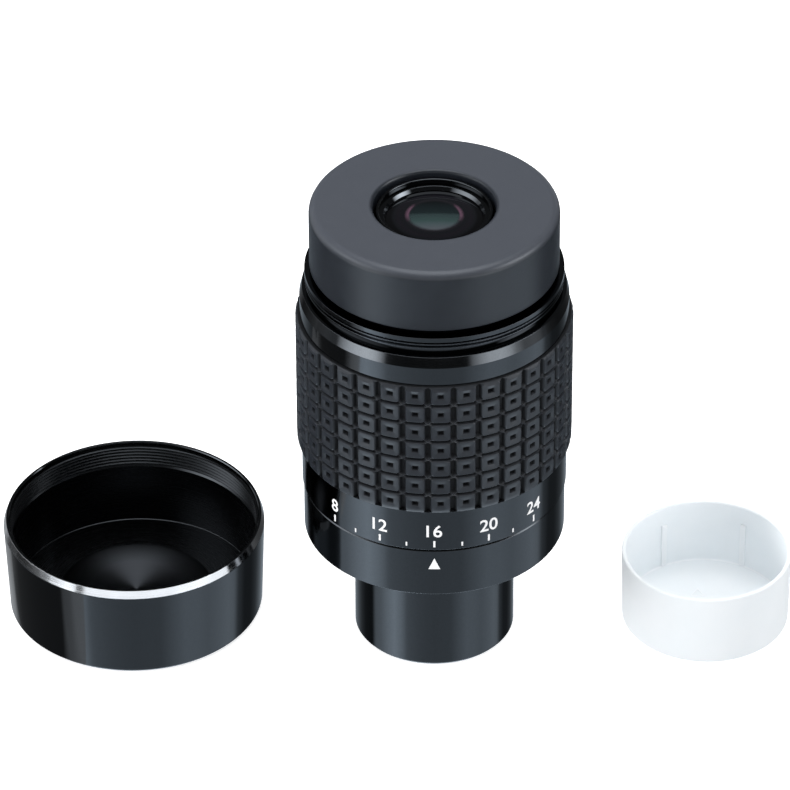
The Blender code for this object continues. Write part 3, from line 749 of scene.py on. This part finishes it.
def tile_points(row):
    """For each ring of a tile, its points as (across, up, depth), anticlockwise from the lower right."""
    rings = []
    for number, (a, b, c, side, end, corner) in enumerate(TILE_RINGS):
        b_up, c_up, end_up, corner_up = b, c, end, corner
        b_down, c_down, end_down, corner_down = b, c, end, corner
        if row == GRIP_ROWS - 1 and number < len(TOP_ROW):
            b_up, c_up, end_up, corner_up = TOP_ROW[number], TOP_CUT, 0.0, 0.0
        if row == 0 and number < len(BOTTOM_ROW):
            b_down, c_down, end_down = BOTTOM_ROW[number], BOTTOM_CUT, 0.0
            corner_down = side if number < 2 else 0.0

        def upward(t):
            """From the bottom of the side to its top."""
            low, high = -(b_down - c_down), b_up - c_up
            return low + (high - low) * (t + 1) / 2

        def corner_point(right, up, half_height, cut, depth):
            pull = cut * CORNER_PULL if number else 0
            return right * (a - pull), up * (half_height - pull), depth

        points = [(a, upward(t), side) for t in SIDE_STEPS]
        points.append(corner_point(1, 1, b_up, c_up, corner_up))
        points += [((a - c_up) * -t, b_up, end_up) for t in SIDE_STEPS]
        points.append(corner_point(-1, 1, b_up, c_up, corner_up))
        points += [(-a, upward(-t), side) for t in SIDE_STEPS]
        points.append(corner_point(-1, -1, b_down, c_down, corner_down))
        points += [((a - c_down) * t, -b_down, end_down) for t in SIDE_STEPS]
        points.append(corner_point(1, -1, b_down, c_down, corner_down))
        rings.append(points)
    return rings


def grip_vert(form, turn, radius, height):
    return form.verts.new((EYEPIECE[0] + radius * MM * math.cos(turn),
                           EYEPIECE[1] + radius * MM * math.sin(turn), height * MM))


def add_tile(form, rings, turn, middle, scale):
    """One tile of the grip, with its hole, centred at a turn in radians and a height."""
    made = []
    for points in rings:
        loop = []
        for across, up, depth in points:
            height = middle + up * scale
            here = turn + 2 * math.pi / GRIP_COLUMNS * across / TILE_W
            loop.append(grip_vert(form, here, grip_radius(height) - depth, height))
        made.append(loop)
    for outer, inner in zip(made, made[1:]):
        for i in range(len(outer)):
            j = (i + 1) % len(outer)
            form.faces.new((outer[i], outer[j], inner[j], inner[i]))
    hole = grip_vert(form, turn, grip_radius(middle) - TILE_RINGS[-1][3], middle)
    last = made[-1]
    for i in range(len(last)):
        form.faces.new((last[i], last[(i + 1) % len(last)], hole))


def close_grip(form):
    """The grip's two end faces and its bore, from the open edges of the tiles."""
    middle = (GRIP_LOW + GRIP_HIGH) / 2
    for height in (GRIP_HIGH, GRIP_LOW):
        rim = [e for e in form.edges
               if e.is_boundary and all(abs(v.co.z - height * MM) < TINY for v in e.verts)]
        for edge in rim:
            turns = [math.atan2(v.co.y - EYEPIECE[1], v.co.x - EYEPIECE[0]) for v in edge.verts]
            inner = [grip_vert(form, turn, GRIP_BORE, height) for turn in turns]
            form.faces.new((*edge.verts, inner[1], inner[0]))
            deep = [grip_vert(form, turn, GRIP_BORE, middle) for turn in turns]
            form.faces.new((inner[0], inner[1], deep[1], deep[0]))


def build_grip():
    form = bmesh.new()
    scale = (GRIP_HIGH - GRIP_LOW) / (GRIP_ROWS * TILE_H)
    for row in range(GRIP_ROWS):
        rings = tile_points(row)
        middle = GRIP_LOW + (row + 0.5) * TILE_H * scale
        for column in range(GRIP_COLUMNS):
            turn = math.radians(FRONT + GRIP_TURN) + 2 * math.pi * column / GRIP_COLUMNS
            add_tile(form, rings, turn, middle, scale)
    bmesh.ops.remove_doubles(form, verts=form.verts, dist=MERGE)
    close_grip(form)
    bmesh.ops.remove_doubles(form, verts=form.verts, dist=MERGE)
    bmesh.ops.recalc_face_normals(form, faces=form.faces)
    mesh = mesh_from("grip_sleeve", form)
    mesh.shade_smooth()
    mesh.set_sharp_from_angle(angle=math.radians(SHARP_EDGE))
    finish(link("grip_sleeve", mesh), "zoom_ring", "grip_rubber", GRIP, "grip")


# ---------------------------------------------------------------- markings

STRIP = 0.3                  # a flat form is cut into strips this wide before it is bent
WELD = 1e-5
MARK_LOW, MARK_HIGH = -0.018, 0.042          # the marks' undersides and tops, from the metal's surface
MARK_SHARP = 40              # degrees
DIAL_RADIUS, INDEX_RADIUS = 26.09, 25.82
NUMBERS = (8, 12, 16, 20, 24)
NUMBER_STEP = 24             # degrees between neighbouring numbers
DIGIT_SIZE, DIGIT_WEIGHT = 3.9, 0.045
DIGIT_HALF, DIGIT_RAISE = 0.03, 0.012        # half of a digit's thickness, and the height of its middle


def wrapped(name, form, turn, radius, height, body):
    """Lays a flat form (x across, y up, z out, in millimetres) on a cylinder, at a turn and a height."""
    xs = [v.co.x for v in form.verts]
    cut = math.floor(min(xs) / STRIP) * STRIP
    while cut < max(xs):
        geometry = form.verts[:] + form.edges[:] + form.faces[:]
        bmesh.ops.bisect_plane(form, geom=geometry, dist=WELD, plane_co=(cut, 0, 0), plane_no=(1, 0, 0))
        cut += STRIP
    for v in form.verts:
        angle = math.radians(turn) + v.co.x / radius
        out = (radius + v.co.z) * MM
        x, y = out * math.cos(angle), out * math.sin(angle)
        v.co = (EYEPIECE[0] + x, EYEPIECE[1] + y, (height + v.co.y) * MM)
    bmesh.ops.recalc_face_normals(form, faces=form.faces)
    mesh = mesh_from(name, form)
    mesh.set_sharp_from_angle(angle=math.radians(MARK_SHARP))
    finish(link(name, mesh), body, "white_marking", INK)


def digits(text):
    """A number as a thin solid, centred on its own middle."""
    curve = bpy.data.curves.new("digits", "FONT")
    curve.body = text
    curve.size = DIGIT_SIZE
    curve.extrude = DIGIT_HALF
    curve.offset = DIGIT_WEIGHT
    curve.align_x, curve.align_y = "CENTER", "CENTER"
    curve.resolution_u = 5
    holder = bpy.data.objects.new("digits", curve)
    bpy.context.scene.collection.objects.link(holder)
    graph = bpy.context.evaluated_depsgraph_get()
    mesh = bpy.data.meshes.new_from_object(holder.evaluated_get(graph))
    form = bmesh.new()
    form.from_mesh(mesh)
    bpy.data.objects.remove(holder)
    bpy.data.meshes.remove(mesh)
    bpy.data.curves.remove(curve)
    bmesh.ops.remove_doubles(form, verts=form.verts, dist=WELD)
    xs, ys = [v.co.x for v in form.verts], [v.co.y for v in form.verts]
    middle = Vector(((min(xs) + max(xs)) / 2, (min(ys) + max(ys)) / 2, 0))
    for v in form.verts:
        v.co -= middle
        v.co.z += DIGIT_RAISE
    return form


def plate(corners):
    """A thin flat shape from its corners, as a closed form."""
    form = bmesh.new()
    low = [form.verts.new((x, y, MARK_LOW)) for x, y in corners]
    high = [form.verts.new((x, y, MARK_HIGH)) for x, y in corners]
    form.faces.new(low[::-1])
    form.faces.new(high)
    for i in range(len(corners)):
        j = (i + 1) % len(corners)
        form.faces.new((low[i], low[j], high[j], high[i]))
    return form


def bar(half_width, half_height):
    return plate([(x * half_width, y * half_height) for x, y in SQUARE])


def build_markings():
    for number, focal in enumerate(NUMBERS):
        turn = FRONT + (number - 2) * NUMBER_STEP
        wrapped(f"dial_number_{focal}", digits(str(focal)), turn, DIAL_RADIUS, 40.6, "zoom_ring")
        wrapped(f"dial_tick_{focal}", bar(0.2, 0.75), turn, DIAL_RADIUS, 37.55, "zoom_ring")
    for number, share in enumerate((-1.5, -0.5, 0.5, 1.5)):
        turn = FRONT + share * NUMBER_STEP
        wrapped(f"dial_half_tick_{number + 1}", bar(0.16, 0.45), turn, DIAL_RADIUS, 37.25, "zoom_ring")
    triangle = plate([(-1.15, -1.3), (1.15, -1.3), (0, 1.3)])
    wrapped("index_mark", triangle, FRONT, INDEX_RADIUS, 32.6, "fixed_body")


# ---------------------------------------------------------------- floor and light

FLOOR_HALF, FLOOR_LEVEL = 4, -0.0002         # metres
CARD_LEVEL = -0.001
SURROUND_RADIUS = 12
ALL_RAYS = ("visible_camera", "visible_diffuse", "visible_glossy", "visible_transmission", "visible_shadow",
            "visible_volume_scatter")

# Brightness of the surround, as shares of the way from straight down to straight up
SKY_STOPS = ((0.0, 0.82), (0.5, 0.82), (0.6, 0.85), (1.0, 0.88))

# Each light's place, the point that it aims at, its size in metres and its power in watts
LIGHTS = {
    "key": ((0.1, 0.25, 1.5), (0, 0, 0.05), 1.3, 10),
    "left_box": ((-1.2, -0.55, 0.35), (0, 0, 0.06), 0.6, 9),
    "right_box": ((1.15, -0.75, 0.35), (0, 0, 0.06), 0.6, 3.5),
    "far_box": ((-1.0, 0.95, 0.5), (0.06, 0, 0.01), 0.5, 9),
}


def only_seen_by(made, *rays):
    for flag in ALL_RAYS:
        if flag not in rays:
            setattr(made, flag, False)


def glow(name):
    """A plain white emission."""
    material = bpy.data.materials.new(name)
    material.use_nodes = True
    tree = material.node_tree
    tree.nodes.clear()
    out = tree.nodes.new("ShaderNodeOutputMaterial")
    emit = tree.nodes.new("ShaderNodeEmission")
    emit.inputs["Color"].default_value = (1, 1, 1, 1)
    emit.inputs["Strength"].default_value = 1.0
    tree.links.new(emit.outputs[0], out.inputs[0])
    return material


def floor_material():
    it = Finish("pale_floor", (0, 0), Roughness=0.9, Emission_Color=(1, 1, 1, 1), Emission_Strength=0.7)
    shade = it.mottle(it.noise(0.02, 4), (0.80, 0.80, 0.80), (0.83, 0.83, 0.83))
    return it.set(Base_Color=shade)


def add_floor():
    mesh = bpy.data.meshes.new("floor")
    mesh.from_pydata([(x * FLOOR_HALF, y * FLOOR_HALF, FLOOR_LEVEL) for x, y in SQUARE], [], [(0, 1, 2, 3)])
    mesh.materials.append(floor_material())
    made = link("floor", mesh)
    made.visible_diffuse = made.visible_glossy = False


def add_sky():
    """Soft light from all round, which reflections don't see."""
    world = bpy.data.worlds.new("studio")
    bpy.context.scene.world = world
    world.use_nodes = True
    world.cycles_visibility.glossy = False
    tree = world.node_tree
    back = tree.nodes["Background"]
    place = tree.nodes.new("ShaderNodeTexCoord")
    split = tree.nodes.new("ShaderNodeSeparateXYZ")
    ramp = tree.nodes.new("ShaderNodeValToRGB")
    spread = tree.nodes.new("ShaderNodeMapRange")
    spread.inputs["From Min"].default_value = -1
    tree.links.new(place.outputs["Generated"], split.inputs[0])
    tree.links.new(split.outputs[2], spread.inputs["Value"])
    tree.links.new(spread.outputs[0], ramp.inputs[0])
    fill_ramp(ramp, [(place, (value, value * 1.01, value * 1.03)) for place, value in SKY_STOPS])
    tree.links.new(ramp.outputs[0], back.inputs["Color"])
    back.inputs["Strength"].default_value = 1.0


def add_light(name, place, target, size, power):
    light = bpy.data.lights.new(name, "AREA")
    light.shape = "SQUARE"
    light.size = size
    light.energy = power
    made = bpy.data.objects.new(name, light)
    bpy.context.scene.collection.objects.link(made)
    made.location = place
    aim = Vector(target) - Vector(place)
    made.rotation_euler = aim.to_track_quat("-Z", "Y").to_euler()
    made.visible_glossy = False


def add_surround():
    """A white sphere that only the camera sees."""
    form = bmesh.new()
    bmesh.ops.create_icosphere(form, subdivisions=3, radius=SURROUND_RADIUS)
    mesh = mesh_from("surround", form)
    mesh.materials.append(glow("surround_glow"))
    made = link("surround", mesh)
    only_seen_by(made, "visible_camera")


# What shines in the metal: brightness by azimuth, in degrees from the camera's side, positive to its right.
# Each band of cards runs between two elevations.
LOW_CARDS = (
    (-180, 0.33), (-168, 0.32), (-156, 0.26), (-144, 0.195), (-132, 0.10), (-120, 0.046), (-102, 0.035),
    (-99, 0.25), (-95, 0.62), (-84, 0.78), (-72, 1.25), (-60, 1.62), (-50, 1.25), (-45, 0.98), (-41, 0.66),
    (-36, 0.58), (-24, 0.48), (-12, 0.42), (0, 0.39), (24, 0.41), (36, 0.62), (48, 0.82), (60, 0.80),
    (72, 0.70), (84, 0.78), (96, 0.85), (104, 0.70), (110, 0.20), (120, 0.06), (132, 0.045), (144, 0.09),
    (156, 0.22), (168, 0.34), (180, 0.33),
)
LEVEL_CARDS = (
    (-180, 0.2), (-151, 0.115), (-140, 0.03), (-129, 0.06), (-119, 0.115), (-108, 0.18), (-98, 0.27),
    (-84, 0.21), (-80, 1.4), (-72, 3.0), (-65, 3.84), (-55, 4.36), (-47, 3.6), (-42, 1.8), (-38, 0.12),
    (-33, 0.06), (-22, 0.04), (22, 0.04), (27, 0.06), (30, 0.9), (38, 2.2), (44, 2.94), (55, 3.23), (62, 2.6),
    (68, 1.3), (76, 0.56), (87, 0.63), (93, 0.5), (98, 0.21), (108, 0.08), (119, 0.04), (140, 0.04),
    (151, 0.06), (180, 0.2),
)
HIGH_CARDS = (
    (-180, 0.05), (-156, 0.08), (-144, 0.28), (-132, 0.45), (-120, 0.8), (-108, 0.78), (-97, 0.36),
    (-84, 0.12), (-76, 0.15), (-70, 0.3), (-65, 0.6), (-60, 1.0), (-48, 1.05), (-46, 0.12), (-41, 0.12),
    (-39, 1.1), (88, 1.1), (93, 0.10), (110, 0.06), (132, 0.08), (144, 0.15), (156, 0.45), (168, 0.4),
    (180, 0.05),
)
# Soft boxes above, which fade towards their edges: the middle and the half widths of each, as azimuth and
# elevation, and its brightness
SOFT_BOXES = (((-76, 24), (38, 22), 3.2), ((79, 24), (23, 17), 7.0))
LOW_TINT, LEVEL_TINT = (0.86, 1.0, 1.13), (0.95, 1.0, 1.05)
LOW_TOP, LOW_TOP_AHEAD = -28, -16.5      # the low cards' upper elevation behind, and elsewhere
AHEAD = 102                  # how far round from the front that higher edge goes
STEEP, STEEP_RISE = -45, 8   # below STEEP the low cards brighten, by their own level every 8 degrees
LEVEL_TOP, LEVEL_SAG = -2, 0.0012        # the level cards' upper elevation in front, and its fall
LEVEL_TOP_LEAST = -16
HIGH_TOP = 13                # the high cards' upper elevation
ZENITH = 62                  # an overhead bank shines above this elevation
BANK, GAP = 2.3, 0.06        # brightness of the overhead bank, and between it and the high cards


def along(stops, place):
    """The value at a place, between stops of (place, value)."""
    for (first, low), (second, high) in zip(stops, stops[1:]):
        if place <= second:
            return low + (high - low) * (place - first) / (second - first)
    return stops[-1][1]


def shine(azimuth, elevation):
    """The colour that metal reflects from one direction."""
    if elevation < LOW_TOP or (elevation < LOW_TOP_AHEAD and abs(azimuth) < AHEAD):
        downward = 1 + max(0, STEEP - elevation) / STEEP_RISE
        return [tint * along(LOW_CARDS, azimuth) * downward for tint in LOW_TINT]
    if elevation < max(LEVEL_TOP_LEAST, LEVEL_TOP - LEVEL_SAG * azimuth ** 2):
        level = along(LEVEL_CARDS, azimuth)
    elif elevation < HIGH_TOP:
        level = along(HIGH_CARDS, azimuth)
    else:
        level = BANK if elevation > ZENITH else GAP
        for (middle, height), (half_width, half_height), brightness in SOFT_BOXES:
            across, up = (azimuth - middle) / half_width, (elevation - height) / half_height
            if abs(across) < 1 and abs(up) < 1:
                level = max(level, brightness * (1 - across ** 2) * (1 - up ** 2))
    return [tint * level for tint in LEVEL_TINT]


def add_reflected_room(reach=5.0, step=2):
    """A great sphere round the set, which only reflections see, with a point every few degrees."""
    columns = 360 // step
    last = 90 - step
    elevations = range(-last, last + 1, step)
    verts, colours, faces = [], [], []
    for elevation in elevations:
        rise = math.radians(elevation)
        for column in range(columns):
            azimuth = column * step - 180
            turn = math.radians(FRONT + azimuth)
            verts.append((reach * math.cos(rise) * math.cos(turn), reach * math.cos(rise) * math.sin(turn),
                          reach * math.sin(rise)))
            colours += [*shine(azimuth, elevation), 1]
    for row in range(len(elevations) - 1):
        for column in range(columns):
            corner, after = row * columns + column, row * columns + (column + 1) % columns
            faces.append((corner, corner + columns, after + columns, after))
    top = (len(elevations) - 1) * columns
    faces.append(list(range(columns)))
    faces.append(list(range(top, top + columns))[::-1])
    only_reflected("reflected_room", verts, faces, colours)


def only_reflected(name, verts, faces, colours):
    """A glowing surface that only reflections see, with a colour at each of its points."""
    mesh = bpy.data.meshes.new(name)
    mesh.from_pydata(verts, [], faces)
    mesh.attributes.new("shine", "FLOAT_COLOR", "POINT").data.foreach_set("color", colours)
    material = glow(name)
    tree = material.node_tree
    read = tree.nodes.new("ShaderNodeAttribute")
    read.attribute_name = "shine"
    tree.links.new(read.outputs["Color"], tree.nodes["Emission"].inputs["Color"])
    mesh.materials.append(material)
    made = link(name, mesh)
    only_seen_by(made, "visible_glossy")


# Cards lying under the set, which only reflections see: the axis that each is measured from, and its
# corners in millimetres with their brightness
FLOOR_CARDS = (
    ("cap_shade", EYE_CAP, (
        (-14.6, -21.7, 0.07), (-88.8, -51.7, 0.07), (-90, 41, 0.07), (-22.9, -12.4, 0.07))),
    ("cap_dusk", EYE_CAP, (
        (-12.7, -22.9, 0.48), (-80.5, -65.3, 0.48), (-88.8, -51.7, 0.07), (-14.6, -21.7, 0.07))),
    ("cap_dawn", EYE_CAP, (
        (-9.8, -24.2, 0.8), (-65.4, -81.7, 0.8), (-80.5, -65.3, 0.48), (-12.7, -22.9, 0.48))),
    ("cap_haze", EYE_CAP, (
        (-22.9, -12.4, 0.07), (-90, 41, 0.07), (-60, 37, 0.3), (-25.0, -7.2, 0.5))),
    ("cap_light", EYE_CAP, (
        (-25.0, -7.2, 0.5), (-60, 37, 0.3), (-60, 52, 0.25), (-26, 52, 0.25), (-26.4, 0, 0.5))),
    ("side_shade", EYEPIECE, (
        (-200, -45, 0.02), (-122, -45, 0.02), (-122, 40, 0.02), (-200, 40, 0.02))),
)


def add_floor_card(name, axis, corners):
    verts, colours = [], []
    for x, y, level in corners:
        verts.append((axis[0] + x * MM, axis[1] + y * MM, CARD_LEVEL))
        colours += [*(tint * level for tint in LEVEL_TINT), 1]
    only_reflected(name, verts, [list(range(len(corners)))], colours)


def build_stage():
    add_sky()
    add_floor()
    add_reflected_room()
    for card in FLOOR_CARDS:
        add_floor_card(*card)
    for name, settings in LIGHTS.items():
        add_light(name, *settings)
    add_surround()
    bpy.context.scene.view_settings.view_transform = "Standard"


# ---------------------------------------------------------------- the set

# The CAD pieces that aren't replaced below keep their shapes and take the same materials
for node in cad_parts.values():
    used = [slot.material.name.split(".")[0] if slot.material else "" for slot in node.material_slots]
    for index, slot_name in enumerate(used):
        if slot_name in SLOT_MATERIALS:
            node.material_slots[index].material = SLOT_MATERIALS[slot_name]

build_body()
build_grip()
build_top()
build_eye_group()
build_field_end()
build_eye_cap()
build_barrel_cap()
build_markings()
build_stage()
